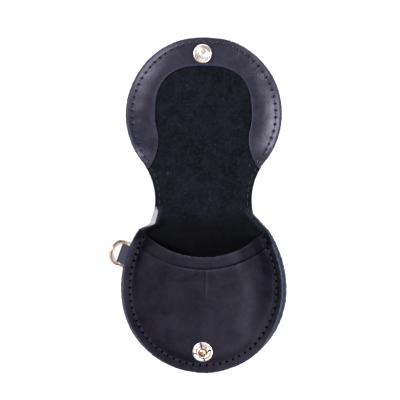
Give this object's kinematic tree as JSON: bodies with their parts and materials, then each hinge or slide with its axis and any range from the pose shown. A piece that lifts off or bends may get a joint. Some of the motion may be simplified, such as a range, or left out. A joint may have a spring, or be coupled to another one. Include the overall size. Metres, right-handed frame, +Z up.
{
  "type": "coin purse",
  "caption": "Round leather coin purse with a fold-over flap, snap closure, slip pocket and a small D-ring on a side tab; lies open on its back.",
  "frame": {"origin": "on the surface the purse lies on, under the centre of the round pouch", "axes": "+Z up out of the lying purse, +Y from the pouch towards the tip of the open flap, +X to the right seen from above"},
  "size_m": [0.0911, 0.1728, 0.0199],
  "materials": {
    "back_leather": "suede side inward, smooth black grain side outward",
    "smooth_leather": "smooth black full-grain leather with a soft satin sheen",
    "nickel": "polished nickel plate",
    "thread": "waxed black sewing thread"
  },
  "bodies": {
    "pouch": {"back_panel": "back_leather", "front_inner_panel": "smooth_leather", "front_outer_panel": "smooth_leather", "ring_tab": "smooth_leather", "snap_stud": "nickel", "snap_eyelet": "nickel", "pouch_thread_front": "thread", "pouch_thread_back": "thread"},
    "neck_1": {"neck_1": "back_leather"},
    "neck_2": {"neck_2": "back_leather"},
    "neck_3": {"neck_3": "back_leather"},
    "flap": {"flap_panel": "back_leather", "flap_facing": "smooth_leather", "snap_cap": "nickel", "snap_socket": "nickel", "flap_thread_inside": "thread", "flap_thread_outside": "thread"},
    "ring": {"d_ring": "nickel"}
  },
  "joints": [
    {"name": "neck_fold", "type": "hinge", "parent": "pouch", "child": "neck_1", "pos_m": [0, 0.0325, 0.0036], "axis": [1, 0, 0], "range_deg": [0, 60]},
    {"name": "neck_bend_2", "type": "hinge", "parent": "neck_1", "child": "neck_2", "pos_m": [0, 0.04143, 0.0036], "axis": [1, 0, 0], "range_deg": [0, 40]},
    {"name": "neck_bend_3", "type": "hinge", "parent": "neck_2", "child": "neck_3", "pos_m": [0, 0.05036, 0.0036], "axis": [1, 0, 0], "range_deg": [0, 40]},
    {"name": "flap_fold", "type": "hinge", "parent": "neck_3", "child": "flap", "pos_m": [0, 0.05929, 0.0036], "axis": [1, 0, 0], "range_deg": [0, 52]},
    {"name": "ring_swing", "type": "hinge", "parent": "pouch", "child": "ring", "pos_m": [-0.04158, 0.01888, 0.0052], "axis": [0.341, 0.9401, 0], "range_deg": [-95, 135]}
  ],
  "couplings": [
    {"joint": "neck_bend_2", "follows": "neck_fold", "ratio": 0.66666},
    {"joint": "neck_bend_3", "follows": "neck_fold", "ratio": 0.66666},
    {"joint": "flap_fold", "follows": "neck_fold", "ratio": 0.86666}
  ]
}
